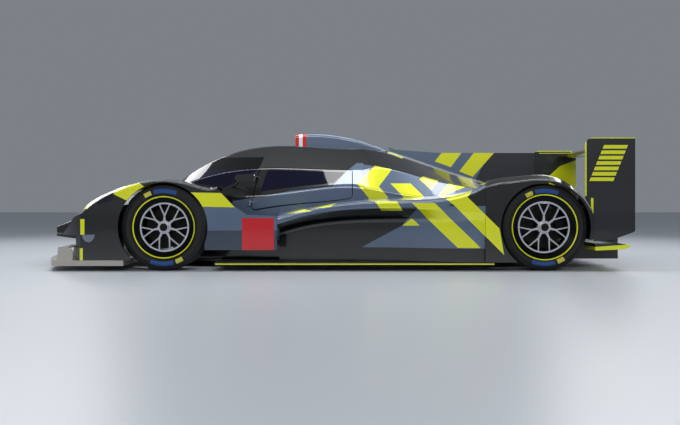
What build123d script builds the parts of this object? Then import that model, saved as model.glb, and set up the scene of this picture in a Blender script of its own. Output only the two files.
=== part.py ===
from build123d import *
import math
import os

# Sports prototype race car, closed cockpit. Millimetres, X runs from nose to tail,
# Y to the car's right, Z up from the road. The origin is on the road below the middle.

# Whole car
car_length = 4668.0
car_width = 1900.0
nose_x = -car_length / 2
tail_x = car_length / 2
side_y = car_width / 2
front_axle_x = -1279.0
rear_axle_x = 1639.0
skin = 12.0
seat_gap = 0.3

# Tyres and wheels
tyre_radius = 334.0
tyre_width = 310.0
tyre_outer_y = 925.0
tyre_shoulder = 34.0
front_flange_radius = 239.0
rear_flange_radius = 253.0
front_spoke_ring = 183.0
rear_spoke_ring = 193.0
rim_wall = 7.0
rim_inset = 14.0
spoke_count = 7
spoke_fork_share = 0.48
spoke_half_angle = 360.0 / spoke_count / 4
spoke_width = 13.0
spoke_tip_width = 8.0
spoke_depth = 22.0
spoke_face_inset = 42.0
hub_radius = 51.0
hub_nut_radius = 37.0
hub_nut_length = 34.0
spindle_radius = 22.0
spindle_clearance = 0.05
disc_radius = 160.0
disc_thickness = 30.0
disc_inset = 130.0

# Steering and knuckles
steer_axis_y = 735.0
upright_width = 70.0
upright_height = 250.0
upright_depth = 40.0
ball_pin_radius = 8.0
ball_pin_length = 26.0
wishbone_radius = 11.0
wishbone_spread = 150.0
caliper_angle = 48.0
caliper_outer_radius = 184.0
caliper_inner_radius = 104.0
caliper_gap = 6.0
caliper_wall = 18.0

# Arches
arch_radius = 342.0
well_radius = 410.0

# Floor
floor_bottom = 45.0
floor_thickness = 20.0
floor_half_width = 925.0
floor_front_x = -890.0
floor_rear_x = 1250.0
floor_waist_half = 490.0
sill_height = 9.0
sill_width = 10.0
floor_tail_half = 558.0
splitter_bottom = 41.0
splitter_top = 83.0


def outline(points, radii):
    """A face from corner points, each rounded by its own radius."""
    return make_face(FilletPolyline(*points, radius=radii, close=True))


def section(x, points, radii):
    """A face across the car at x, its corners given as (y, z)."""
    return Plane.YZ.offset(x) * outline(points, radii)


def side_prism(points, y_from, y_to, radius=0.0):
    """A prism with a side-view outline of (x, z) points between two values of y."""
    face = outline(points, [radius] * len(points))
    return extrude(Plane.XZ.offset(-y_to) * face, amount=y_to - y_from)


def plan_prism(points, z_from, z_to, radius=0.0):
    """A prism with a plan outline of (x, y) points between two heights."""
    face = outline(points, [radius] * len(points))
    return extrude(Plane.XY.offset(z_from) * face, amount=z_to - z_from)


def block(x_from, x_to, y_from, y_to, z_from, z_to):
    """A plain block between two corners."""
    size = (x_to - x_from, y_to - y_from, z_to - z_from)
    middle = ((x_from + x_to) / 2, (y_from + y_to) / 2, (z_from + z_to) / 2)
    return Pos(*middle) * Box(*size)


def cross_cylinder(x, z, radius, y_from, y_to):
    """A cylinder along Y."""
    return Pos(x, (y_from + y_to) / 2, z) * Rot(90, 0, 0) * Cylinder(radius, y_to - y_from)


def bar(start, end, radius):
    """A round bar between two points."""
    path = Line(start, end)
    return extrude(Plane(origin=start, z_dir=path % 0) * Circle(radius), amount=path.length)


def mirrored(shape):
    """The same shape on the other side of the car."""
    return mirror(shape, about=Plane.XZ)


def pair(shape):
    """A left-hand shape and its mirror image, as solids of one node."""
    return Compound(children=[*shape.solids(), *mirrored(shape).solids()])


def save(shape, node):
    """Write one sub-part."""
    export_step(shape, f"parts/{node}.step")


os.makedirs("parts", exist_ok=True)


# Cockpit shell sections, from the windscreen's base to the engine bulkhead.
# x, top height, crown half width, gutter y and z, waist y and z, sill half width
cockpit_stations = [
    (-1290, 700, 170, 400, 640, 490, 560, 490),
    (-975, 893, 190, 440, 745, 512, 570, 505),
    (-640, 988, 210, 478, 792, 585, 575, 580),
    (-300, 1003, 215, 478, 796, 598, 610, 598),
    (262, 985, 200, 462, 790, 600, 650, 600),
]
cockpit_base_z = floor_bottom + floor_thickness
cockpit_wall = 20.0
glass_thickness = 8.0
bulkhead = 25.0


def greenhouse(stations, base_z, inset, end_inset):
    """The cockpit's loft, brought in by a wall all round and at its two ends."""
    faces = []
    for number, (x, top, crown, gutter_y, gutter_z, waist_y, waist_z, sill) in enumerate(stations):
        if number == 0:
            x = x + end_inset
        if number == len(stations) - 1:
            x = x - end_inset
        half = [
            (sill - inset, base_z + inset),
            (waist_y - inset, waist_z),
            (gutter_y - inset, gutter_z - inset / 3),
            (crown - inset / 3, top - inset),
        ]
        points = half + [(-y, z) for y, z in reversed(half)]
        radii = [25, 60, 30, 120, 120, 30, 60, 25]
        faces.append(section(x, points, radii))
    return loft(faces)


cockpit_outer = greenhouse(cockpit_stations, cockpit_base_z, 0, 0)
cockpit_hollow = greenhouse(cockpit_stations, cockpit_base_z, cockpit_wall, bulkhead)
glass_hollow = greenhouse(cockpit_stations, cockpit_base_z, glass_thickness, glass_thickness)
cockpit_shell = cockpit_outer - cockpit_hollow
glass_shell = cockpit_outer - glass_hollow

# Windscreen, cut across the whole car between its base, its pillars and the roof
screen_outline = [(-1282, 703), (-870, 645), (-705, 715), (-590, 797), (-560, 900), (-1400, 900)]
screen_cut = side_prism(screen_outline, -side_y, side_y)
windscreen = glass_shell & screen_cut

# Doors swing on the front edge, outwards and up. The left one is drawn, the right mirrored.
door_hinge_low = (-658.0, -616.0, 470.0)
door_hinge_high = (-602.0, -508.0, 800.0)
door_gap = 6.0
door_lift = 0.50
door_ref_y = 550.0
door_outline = [(-640, 446), (-580, 842), (168, 842), (168, 548)]
# The hole is lower at the front by this much, because the door's corner dips as it swings
door_dip = 6.0
door_hole_outline = [(door_outline[0][0], door_outline[0][1] - door_dip)] + door_outline[1:]
window_outline = [(-572, 595), (-520, 815), (122, 815), (20, 680)]


def door_prism(points, grow, radius):
    """A cutter with a side-view outline, sloped along the way that the left door leaves the shell."""
    face = offset(outline(points, [radius] * len(points)), amount=grow)
    plane = Plane.XZ.offset(door_ref_y)
    return extrude(plane * face, amount=330, dir=(0, -1, door_lift), both=True)


door_hole = door_prism(door_hole_outline, door_gap, 30)
door_panel = door_prism(door_outline, 0, 24)
window_cut = door_prism(window_outline, 0, 12)
door_left = (cockpit_shell & door_panel) - window_cut
window_left = glass_shell & window_cut
tub = cockpit_shell - screen_cut - door_hole - mirrored(door_hole)

# Door hinges: pins carried by the pillar, each in a lug of the door
hinge_start = Vector(*door_hinge_low)
hinge_way = (Vector(*door_hinge_high) - hinge_start).normalized()
hinge_lug_radius = 9.0
hinge_pin_radius = 4.0
hinge_lug_length = 22.0
hinge_places = [50.0, 270.0]


def hinge_piece(begin, end, radius):
    """A round piece along the hinge's axis, between two distances from its lower point."""
    return bar(hinge_start + hinge_way * begin, hinge_start + hinge_way * end, radius)


def hinge_web(start, way, reach):
    """A round web from a lug, square to the hinge's axis, towards the panel that carries it."""
    square = (way - hinge_way * way.dot(hinge_way)).normalized()
    return bar(start, start + square * reach, 5)


for place in hinge_places:
    stop = place + hinge_lug_length
    lug_middle = hinge_start + hinge_way * (place + hinge_lug_length / 2)
    lug = hinge_piece(place, stop, hinge_lug_radius)
    lug += hinge_web(lug_middle, Vector(40, 20, 0), 46)
    door_left += lug - cockpit_hollow
    door_left -= hinge_piece(place - 1, stop + 1, hinge_pin_radius + spindle_clearance)
    pillar_middle = hinge_start + hinge_way * (place - hinge_lug_length / 2 - seat_gap)
    pillar = hinge_piece(place - hinge_lug_length - seat_gap, place - seat_gap, hinge_lug_radius)
    pillar += hinge_web(pillar_middle, Vector(-22, 28, 0), 40)
    pillar += hinge_piece(place - hinge_lug_length, stop - 2, hinge_pin_radius)
    tub += (pillar - cockpit_hollow) + mirrored(pillar - cockpit_hollow)

save(tub, "tub")
save(windscreen, "windscreen")
save(door_left, "door_left")
save(mirrored(door_left), "door_right")
save(window_left, "window_left")
save(mirrored(window_left), "window_right")

# Nose, between the front fenders
nose_half_width = 490.0
# The loft starts ahead of the tip, and the plan cut brings it back to the tip
nose_cut_over = 4.0
# x, top height, crown half width, shoulder height, belly height
nose_stations = [
    (nose_x - nose_cut_over, 296, 60, 288, 262),
    (-2170, 400, 120, 352, 240),
    (-1820, 545, 150, 470, 200),
    (-1292, 700, 170, 560, 170),
]
nose_faces = []
for x, top, crown, shoulder, belly in nose_stations:
    points = [
        (nose_half_width, belly),
        (nose_half_width, shoulder),
        (crown, top),
        (-crown, top),
        (-nose_half_width, shoulder),
        (-nose_half_width, belly),
    ]
    nose_faces.append(section(x, points, [8, 10, 60, 60, 10, 8]))
nose_body = loft(nose_faces)

# The front edge in plan is part of a circle through the nose's tip and the two front corners
front_corner_x = -1905.0
front_sagitta = front_corner_x - nose_x
front_plan_radius = (side_y ** 2 + front_sagitta ** 2) / (2 * front_sagitta)
front_plan_x = nose_x + front_plan_radius
front_plan = Pos(front_plan_x, 0, 600) * Cylinder(front_plan_radius, 1200)
front_plan += block(front_plan_x, tail_x, -side_y - 40, side_y + 40, 0, 1200)
nose = nose_body & front_plan
save(nose, "nose")


# Front fenders: shells over the wheels, open below, inboard and at the back
fender_inner_y = nose_half_width + seat_gap
front_fender_rear_x = -868.0
fender_bottom = splitter_top + seat_gap
crown_inner_y = 640.0
crown_outer_y = 880.0
lip_z = 270.0
# x, crown height, outer edge height, inner edge height, inner edge y
front_fender_stations = [
    (-2260, 288, 282, 286, fender_inner_y),
    (-2010, 376, 330, 350, fender_inner_y),
    (-1843, 532, 488, 440, fender_inner_y),
    (-1690, 612, 582, 500, fender_inner_y),
    (-1400, 694, 684, 570, fender_inner_y),
    (-1150, 690, 682, 590, 506),
    (front_fender_rear_x, 652, 640, 590, 560),
]


def fender(stations, bottom, inset, inner_reach):
    """A fender's loft; the inset brings in its top and outer side, the reach its inner side."""
    faces = []
    for x, crown, outer, inner, inner_y in stations:
        points = [
            (-inner_y + inner_reach, bottom),
            (-inner_y + inner_reach, inner - inset),
            (-crown_inner_y, crown - inset),
            (-crown_outer_y, crown - inset),
            (-side_y + inset, outer - inset),
            (-side_y + inset, bottom),
        ]
        faces.append(section(x, points, [4, 6, 50, 40, 12, 4]))
    return loft(faces)


well_reach = 60.0
well_front_x = front_axle_x - well_radius
front_outer = fender(front_fender_stations, fender_bottom, 0, 0) & front_plan
front_hollow = fender(front_fender_stations, -60, skin, well_reach)
front_well = front_hollow & block(well_front_x, 0, -side_y, 0, -60, 900)
front_arch = cross_cylinder(front_axle_x, tyre_radius, arch_radius, -side_y - 20, -side_y + 60)
arch_tail = block(front_axle_x, 0, -side_y - 5, -side_y + 60, 0, tyre_radius)
# The intake mouth below the lip, in front of the wheel
mouth_rear_x = -1790.0
mouth_outer_y = 905.0
mouth_plan = [(-2400, -mouth_outer_y), (mouth_rear_x, -mouth_outer_y), (mouth_rear_x, -300), (-2400, -300)]
mouth = plan_prism(mouth_plan, splitter_bottom, lip_z, 40)
headlamp_outline = [(-1790, 495), (-1752, 590), (-1640, 640), (-1664, 540)]
headlamp_cut = side_prism(headlamp_outline, -side_y - 5, -760, 12)
headlamp = front_outer & headlamp_cut
front_fender = front_outer - front_well - front_arch - arch_tail - mouth - headlamp_cut
save(pair(front_fender), "front_fenders")
save(pair(headlamp), "headlamps")

# Splitter: a shallow arc in plan, cut back ahead of the wheels, with end fences and a cross flap
splitter_tip_x = -2320.0
splitter_corner_x = -2124.0
splitter_sagitta = splitter_corner_x - splitter_tip_x
splitter_radius = (side_y ** 2 + splitter_sagitta ** 2) / (2 * splitter_sagitta)
splitter_rear_x = front_axle_x - 301.0
splitter_keel_half = 440.0
splitter_keel_rear_x = -1292.0
fence_front_x = -2085.0
fence_rear_x = -1963.0
fence_top = 185.0
fence_thickness = 12.0
flap_thickness = 8.0
flap_inner_y = 560.0
splitter_depth = splitter_top - splitter_bottom
splitter_disc = Pos(splitter_tip_x + splitter_radius, 0, splitter_bottom + splitter_depth / 2) * Cylinder(
    splitter_radius, splitter_depth)
splitter_plan = plan_prism(
    [
        (nose_x - 10, -side_y),
        (splitter_rear_x, -side_y),
        (splitter_rear_x, -splitter_keel_half),
        (splitter_keel_rear_x, -splitter_keel_half),
        (splitter_keel_rear_x, splitter_keel_half),
        (splitter_rear_x, splitter_keel_half),
        (splitter_rear_x, side_y),
        (nose_x - 10, side_y),
    ],
    0,
    200,
)
splitter = splitter_disc & splitter_plan
for fence_y in (-side_y, -flap_inner_y):
    fence_outline = [
        (fence_front_x, splitter_top - 5),
        (fence_front_x + 10, fence_top),
        (fence_rear_x, fence_top),
        (fence_rear_x, splitter_top - 5),
    ]
    face = outline(fence_outline, [0, 4, 45, 30])
    fence = extrude(Plane.XZ.offset(-fence_y - fence_thickness) * face, amount=fence_thickness)
    splitter += fence + mirrored(fence)
flap = block(fence_front_x + 12, fence_rear_x - 30, -side_y, -flap_inner_y, fence_top - flap_thickness, fence_top)
splitter += flap + mirrored(flap)
save(splitter, "splitter")

# Side panels behind the front wheels
panel_thickness = 18.0
panel_rear_x = -408.0
panel_bottom = 162.0
panel_outline = [
    (front_fender_rear_x + seat_gap, 638),
    (-728, 490),
    (-637, 431),
    (panel_rear_x, 421),
    (panel_rear_x, panel_bottom),
    (-960, panel_bottom),
    (-960, tyre_radius - seat_gap),
    (front_fender_rear_x + seat_gap, tyre_radius - seat_gap),
]
side_panel = side_prism(panel_outline, -side_y, -side_y + panel_thickness) - front_arch
save(pair(side_panel), "side_panels")

# Floor with its sill strips
floor_plan = [
    (floor_front_x, -floor_waist_half),
    (floor_front_x, -floor_half_width),
    (floor_rear_x, -floor_half_width),
    (floor_rear_x, -floor_tail_half),
    (1420, -floor_tail_half),
    (1420, floor_tail_half),
    (floor_rear_x, floor_tail_half),
    (floor_rear_x, floor_half_width),
    (floor_front_x, floor_half_width),
    (floor_front_x, floor_waist_half),
    (splitter_keel_rear_x + seat_gap, floor_waist_half - 60),
    (splitter_keel_rear_x + seat_gap, -floor_waist_half + 60),
]
floor = plan_prism(floor_plan, floor_bottom, floor_bottom + floor_thickness)
save(floor, "floor")
sill = block(floor_front_x + 10, floor_rear_x, -floor_half_width - sill_width, -floor_half_width,
             floor_bottom + 4, floor_bottom + 4 + sill_height)
save(pair(sill), "sill_strips")

# Sidepods, from the side panels back to the rear fenders
pod_inner_y = 606.0
pod_front_x = panel_rear_x + seat_gap
pod_rear_x = 1180.0
pod_base_z = floor_bottom + floor_thickness
# x, inner shelf height, ridge height, ridge y, lower edge of the ridge, wall y, wall top
pod_stations = [
    (pod_front_x, 440, 413, 948, 350, 700, 300),
    (71, 530, 520, 942, 465, 715, 390),
    (528, 565, 541, 940, 480, 790, 400),
    (832, 575, 552, 942, 470, 885, 390),
    (pod_rear_x, 640, 660, 944, 440, 930, 380),
]
pod_faces = []
for x, shelf, ridge, ridge_y, under, wall_y, wall_top in pod_stations:
    points = [
        (-pod_inner_y, pod_base_z),
        (-pod_inner_y, shelf),
        (-ridge_y + 60, ridge + 4),
        (-ridge_y, ridge - 12),
        (-ridge_y, under),
        (-wall_y, wall_top),
        (-wall_y, pod_base_z),
    ]
    pod_faces.append(section(x, points, [3, 6, 30, 14, 14, 50, 3]))
sidepod = loft(pod_faces)
save(pair(sidepod), "sidepods")

# Engine cover: a shell from the cockpit to the tail, open below between the rear wheels
cover_front_x = 262 + seat_gap
cover_rear_x = 2050.0
cover_wall = 12.0
cover_open_x = 1284.0
cover_open_z = 490.0
# x, top height, ridge y, ridge height, flank edge y, flank edge z, waist y, waist z
cover_stations = [
    (cover_front_x, 985, 200, 980, 462, 790, 600, 650),
    (502, 962, 190, 930, 480, 790, 600, 600),
    (817, 862, 180, 830, 480, 706, 600, 560),
    (1084, 770, 170, 740, 490, 650, 575, 540),
    (1500, 660, 160, 640, 480, 590, 558, 520),
    (cover_rear_x, 565, 160, 555, 480, 535, 558, 515),
]


def cover(stations, inset, front_inset, base):
    """The engine cover's loft, brought in by its wall."""
    faces = []
    for number, (x, top, ridge_y, ridge_z, flank_y, flank_z, waist_y, waist_z) in enumerate(stations):
        if number == 0:
            x = x - front_inset
        half = [
            (waist_y - inset, base),
            (waist_y - inset, waist_z),
            (flank_y - inset, flank_z - inset / 2),
            (ridge_y, ridge_z - inset),
            (40, top - inset),
        ]
        points = half + [(-y, z) for y, z in reversed(half)]
        radii = [4, 20, 20, 50, 20, 20, 50, 20, 20, 4]
        faces.append(section(x, points, radii))
    return loft(faces)


cover_outer = cover(cover_stations, 0, 0, floor_bottom + floor_thickness)
cover_hollow = cover(cover_stations, cover_wall, 5, floor_bottom - 20)
cover_opening = block(cover_open_x, cover_rear_x + 5, -side_y, side_y, 0, cover_open_z)
engine_cover = cover_outer - cover_hollow - cover_opening
save(engine_cover, "engine_cover")

# Air scoop on the roof
scoop_front_x = -313.0
scoop_rear_x = 481.0
scoop_half_width = 95.0
scoop_wall = 9.0
# x, top height, half width
scoop_stations = [
    (scoop_front_x, 1108, 92),
    (-33, 1111, 96),
    (230, 1064, 84),
    (scoop_rear_x, 975, 50),
]


def scoop(inset, base):
    """The scoop's loft down to a base inside the roof."""
    faces = []
    for x, top, half_width in scoop_stations:
        points = [
            (-half_width + inset, base),
            (half_width - inset, base),
            (half_width - inset, top - inset),
            (-half_width + inset, top - inset),
        ]
        faces.append(section(x, points, [3, 3, 30, 30]))
    return loft(faces)


scoop_mouth = scoop(scoop_wall, 1012) & block(scoop_front_x - 5, scoop_front_x + 190, -200, 200, 900, 1200)
air_scoop = scoop(0, 930) - cockpit_outer - cover_outer - scoop_mouth
save(air_scoop, "air_scoop")

# Rear wing: main plane and flap between the endplates
endplate_outer_y = 904.0
endplate_thickness = 16.0
endplate_front_x = 1952.0
endplate_top = 1022.0
rear_fender_rear_x = 2004.0
wing_half_span = endplate_outer_y - endplate_thickness - seat_gap


def aerofoil(start, end, thickness, camber):
    """A wing section between two (x, z) points, hollow side down."""
    x0, z0 = start
    x1, z1 = end
    middle_x = x0 + (x1 - x0) * 0.4
    middle_z = z0 + (z1 - z0) * 0.4
    upper = ThreePointArc((x0, z0 + 4), (middle_x, middle_z + thickness / 2 - camber), (x1, z1 + 1.5))
    lower = ThreePointArc((x1, z1 - 1.5), (middle_x, middle_z - thickness / 2 - camber), (x0, z0 - 4))
    face = make_face(upper + Line((x1, z1 + 1.5), (x1, z1 - 1.5)) + lower + Line((x0, z0 - 4), (x0, z0 + 4)))
    return extrude(Plane.XZ.offset(-wing_half_span) * face, amount=2 * wing_half_span)


main_plane = aerofoil((1962, 921), (2215, 946), 34, 16)
wing_flap = aerofoil((2200, 962), (2322, 1010), 18, 10)
save(Compound(children=[main_plane.solid(), wing_flap.solid()]), "rear_wing")

endplate_outline = [
    (endplate_front_x, 558),
    (endplate_front_x, endplate_top),
    (tail_x, endplate_top),
    (tail_x, 301),
    (2157, 236),
    (rear_fender_rear_x + seat_gap, 225),
    (rear_fender_rear_x + seat_gap, 472),
]
endplate_face = outline(endplate_outline, [20, 60, 8, 20, 20, 8, 20])
endplate = extrude(Plane.XZ.offset(endplate_outer_y - endplate_thickness) * endplate_face,
                   amount=endplate_thickness)
save(pair(endplate), "endplates")

# Shark fin along the centre, on the engine cover and through the wing
fin_half_thickness = 8.0
fin_tail_x = 2127.0
fin_outline = [
    (scoop_rear_x + 15, 930),
    (scoop_rear_x + 15, 1003),
    (560, 980),
    (952, 953),
    (fin_tail_x, 953),
    (fin_tail_x, 656),
    (1700, 500),
    (1000, 600),
]
fin_blade = side_prism(fin_outline, -fin_half_thickness, fin_half_thickness)
fin = fin_blade - cover_outer - air_scoop - main_plane
save(max(fin.solids(), key=lambda solid: solid.volume), "fin")

# Rear fenders
rear_fender_inner_y = 559.0
# x, crown height, outer edge height, inner edge height, inner edge y
rear_fender_stations = [
    (pod_rear_x + seat_gap, 662, 640, 560, rear_fender_inner_y + 43),
    (1288, 708, 668, 580, rear_fender_inner_y),
    (1478, 730, 690, 590, rear_fender_inner_y),
    (rear_axle_x, 735, 698, 590, rear_fender_inner_y),
    (1859, 648, 610, 560, rear_fender_inner_y),
    (1962, 536, 500, 490, rear_fender_inner_y),
    (rear_fender_rear_x, 460, 430, 425, rear_fender_inner_y),
]
rear_fender_bottom = floor_bottom + floor_thickness + seat_gap
rear_tail_bottom = 240.0
rear_outer = fender(rear_fender_stations, rear_fender_bottom, 0, 0)
rear_hollow = fender(rear_fender_stations, -60, skin, well_reach)
rear_well = rear_hollow & block(rear_axle_x - arch_radius, rear_axle_x + arch_radius, -side_y, 0, -60, 900)
rear_arch = cross_cylinder(rear_axle_x, tyre_radius, arch_radius, -side_y - 20, -side_y + 60)
rear_tail_cut = block(rear_axle_x, rear_fender_rear_x + 5, -side_y - 5, 0, 0, rear_tail_bottom)
rear_fender = rear_outer - rear_well - rear_arch - rear_tail_cut
save(pair(rear_fender), "rear_fenders")

# Diffuser with its fences
diffuser_front_x = 1420.0 + seat_gap
diffuser_rear_x = 2318.0
diffuser_rear_z = 250.0
diffuser_skin = 10.0
diffuser_half_width = 556.0
diffuser_fences = 4
diffuser_outline = [
    (diffuser_front_x, floor_bottom),
    (diffuser_front_x, floor_bottom + floor_thickness),
    (diffuser_rear_x, diffuser_rear_z),
    (diffuser_rear_x, diffuser_rear_z - diffuser_skin),
]
diffuser = side_prism(diffuser_outline, -diffuser_half_width, diffuser_half_width)
fence_side = [
    (diffuser_front_x + 200, 70),
    (diffuser_front_x + 200, 100),
    (diffuser_rear_x - 4, diffuser_rear_z - 5),
    (diffuser_rear_x - 4, 70),
]
for number in range(diffuser_fences):
    y = -diffuser_half_width + (2 * diffuser_half_width - 8) * number / (diffuser_fences - 1)
    diffuser += side_prism(fence_side, y, y + 8)
save(diffuser, "diffuser")

# Rear winglets behind the rear wheels
winglet_outline = [(2014, 158), (2012, 212), (2200, 214), (2294, 196), (2240, 168)]
winglet = side_prism(winglet_outline, -side_y, -diffuser_half_width - 10, 6)
save(pair(winglet), "rear_winglets")

# Tail panel and lamps
tail_panel_half = 540.0
tail_panel = block(cover_rear_x + seat_gap, cover_rear_x + 12, -tail_panel_half, tail_panel_half, 255, 500)
save(tail_panel, "tail_panel")
lamp = block(cover_rear_x + 12.3, cover_rear_x + 30, -500, -380, 380, 470)
rain_lamp = block(cover_rear_x + 12.3, cover_rear_x + 34, -60, 60, 400, 460)
save(Compound(children=[*pair(lamp).solids(), rain_lamp.solid()]), "tail_lamps")

# Mirrors on arms from the windscreen pillars
mirror_housing = outline([(-758, 700), (-740, 742), (-600, 748), (-600, 688), (-700, 686)], [14, 18, 6, 6, 20])
mirror_body = extrude(Plane.XZ.offset(620) * mirror_housing, amount=160)
mirror_arm = bar((-815, -500, 640), (-690, -660, 715), 9)
mirror_left = (mirror_arm + mirror_body) - cockpit_outer
save(pair(max(mirror_left.solids(), key=lambda solid: solid.volume)), "mirrors")

# Tyres, drawn as an outline of (radius, inset from the outer face) and turned about the axle
def tyre(flange_radius):
    """A tyre about the Y axis, its outer face on the left-hand side of the car."""
    bead = flange_radius - 6
    points = [
        (bead, rim_inset + 4),
        (flange_radius + 1, rim_inset + 4),
        (flange_radius + 20, 3),
        (tyre_radius - 48, 0),
        (tyre_radius - 14, 16),
        (tyre_radius, tyre_shoulder + 10),
        (tyre_radius, tyre_width - tyre_shoulder - 10),
        (tyre_radius - 14, tyre_width - 16),
        (tyre_radius - 48, tyre_width),
        (flange_radius + 20, tyre_width - 3),
        (flange_radius + 1, tyre_width - rim_inset - 4),
        (bead, tyre_width - rim_inset - 4),
    ]
    face = make_face(Polyline(*[(radius, inset - tyre_outer_y) for radius, inset in points], close=True))
    return revolve(face, Axis.Y)


def polar(radius, degrees):
    """A point on a circle about the wheel's centre."""
    return (radius * math.cos(math.radians(degrees)), radius * math.sin(math.radians(degrees)))


def strip(start, end, start_width, end_width):
    """A tapered flat strip between two points."""
    direction = (Vector(*end) - Vector(*start)).normalized()
    across = Vector(-direction.Y, direction.X)
    corners = [
        Vector(*start) + across * start_width / 2,
        Vector(*end) + across * end_width / 2,
        Vector(*end) - across * end_width / 2,
        Vector(*start) - across * start_width / 2,
    ]
    return make_face(Polyline(*corners, close=True))


def rim(flange_radius, ring_radius):
    """A rim with forked spokes, a hub and a brake disc, about the Y axis."""
    drop = ring_radius + 22
    bead = flange_radius - 6 - seat_gap
    face_inset = spoke_face_inset
    profile = [
        (flange_radius, rim_inset - 4),
        (flange_radius, rim_inset + 2),
        (bead, rim_inset + 3),
        (bead, rim_inset + 36),
        (drop, rim_inset + 62),
        (drop, tyre_width - 78),
        (bead, tyre_width - 48),
        (bead, tyre_width - rim_inset - 3),
        (flange_radius, tyre_width - rim_inset - 2),
        (flange_radius, tyre_width - rim_inset + 4),
        (bead - rim_wall, tyre_width - rim_inset + 4),
        (bead - rim_wall, tyre_width - 46),
        (drop - rim_wall, tyre_width - 74),
        (drop - rim_wall, rim_inset + 60),
        (ring_radius - 6, face_inset + spoke_depth),
        (ring_radius - 6, face_inset),
        (ring_radius + 6, face_inset),
    ]
    face = make_face(Polyline(*[(radius, inset - tyre_outer_y) for radius, inset in profile], close=True))
    barrel = revolve(face, Axis.Y)
    fork_radius = spoke_fork_share * ring_radius
    strips = Sketch()
    for number in range(spoke_count):
        angle = 90 + number * 360 / spoke_count
        fork = polar(fork_radius, angle)
        strips += strip(polar(hub_radius - 6, angle), fork, spoke_width + 6, spoke_width)
        for side in (-1, 1):
            tip = polar(ring_radius - 2, angle + side * spoke_half_angle)
            strips += strip(fork, tip, spoke_width - 2, spoke_tip_width)
    spokes = extrude(Plane.XZ.offset(tyre_outer_y - face_inset - spoke_depth) * strips, amount=spoke_depth)
    hub_inner = tyre_outer_y - disc_inset - disc_thickness
    hub_outer = tyre_outer_y - face_inset
    hub = cross_cylinder(0, 0, hub_radius, -hub_outer - 4, -hub_inner)
    nut = cross_cylinder(0, 0, hub_nut_radius, -hub_outer - hub_nut_length, -hub_outer)
    disc = cross_cylinder(0, 0, disc_radius, -hub_inner - disc_thickness, -hub_inner)
    bore = cross_cylinder(0, 0, spindle_radius + spindle_clearance, -hub_outer + 10, -hub_inner + 5)
    return barrel + spokes + hub + nut + disc - bore


def upright():
    """A knuckle about the Y axis: upright, spindle and brake caliper, with bores for the ball pins."""
    inner_y = steer_axis_y - upright_depth / 2
    outer_y = steer_axis_y + upright_depth / 2
    body = block(-upright_width / 2, upright_width / 2, -outer_y, -inner_y,
                 -upright_height / 2, upright_height / 2)
    spindle = cross_cylinder(0, 0, spindle_radius, -tyre_outer_y + spoke_face_inset + 14, -outer_y)
    collar = cross_cylinder(0, 0, hub_radius - 8, -outer_y, -inner_y)
    disc_outer = tyre_outer_y - disc_inset
    disc_inner = disc_outer - disc_thickness
    ring = Circle(caliper_outer_radius) - Circle(caliper_inner_radius)
    wedge = make_face(Polyline((0, 0), polar(260, -caliper_angle / 2), polar(260, caliper_angle / 2), close=True))
    depth = disc_thickness + 2 * caliper_gap + 2 * caliper_wall
    caliper = extrude(Plane.XZ.offset(disc_inner - caliper_gap - caliper_wall) * (ring & wedge), amount=depth)
    slot = cross_cylinder(0, 0, disc_radius + caliper_gap, -disc_outer - caliper_gap, -disc_inner + caliper_gap)
    arm = block(0, caliper_inner_radius + 20, -outer_y, -inner_y, -26, 26)
    pins = Pos(0, -steer_axis_y, 0) * Cylinder(ball_pin_radius + spindle_clearance, upright_height + 10)
    pins -= Pos(0, -steer_axis_y, 0) * Cylinder(30, upright_height - 2 * ball_pin_length)
    return body + collar + spindle + arm + (caliper - slot) - pins


def wishbones(axle_x, chassis_y, spread, rise):
    """Upper and lower wishbones from the chassis' side, with the ball pins that enter an upright."""
    chassis = block(axle_x - 400, axle_x + 400, -chassis_y, 0, 0, 800)
    shapes = []
    for sign in (-1, 1):
        pin_z = tyre_radius + sign * (upright_height / 2)
        tip_z = pin_z + sign * (wishbone_radius + 2)
        ball = Pos(axle_x, -steer_axis_y, tip_z) * Cylinder(wishbone_radius + 3, 2 * wishbone_radius)
        pin_middle = pin_z - sign * (ball_pin_length / 2 - 3)
        pin = Pos(axle_x, -steer_axis_y, pin_middle) * Cylinder(ball_pin_radius, ball_pin_length)
        leg = ball + pin
        for side in (-1, 1):
            foot = (axle_x + side * spread, -chassis_y + 20, tip_z + sign * rise)
            leg += bar(foot, (axle_x, -steer_axis_y, tip_z), wishbone_radius)
        shapes.append(leg - chassis)
    return shapes


front_tyre = tyre(front_flange_radius)
rear_tyre = tyre(rear_flange_radius)
front_rim = rim(front_flange_radius, front_spoke_ring)
rear_rim = rim(rear_flange_radius, rear_spoke_ring)
corners = [
    ("front", front_axle_x, front_tyre, front_rim),
    ("rear", rear_axle_x, rear_tyre, rear_rim),
]
for end, axle_x, tyre_shape, rim_shape in corners:
    place = Pos(axle_x, 0, tyre_radius)
    save(place * tyre_shape, f"tyre_{end}_left")
    save(mirrored(place * tyre_shape), f"tyre_{end}_right")
    save(place * rim_shape, f"rim_{end}_left")
    save(mirrored(place * rim_shape), f"rim_{end}_right")

knuckle_left = Pos(front_axle_x, 0, tyre_radius) * upright()
save(knuckle_left, "knuckle_left")
save(mirrored(knuckle_left), "knuckle_right")

# Suspension
front_arms = wishbones(front_axle_x, nose_half_width + seat_gap, wishbone_spread, -18)
front_solids = [solid for arm in front_arms for shape in (arm, mirrored(arm)) for solid in shape.solids()]
save(Compound(children=front_solids), "front_suspension")

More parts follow.
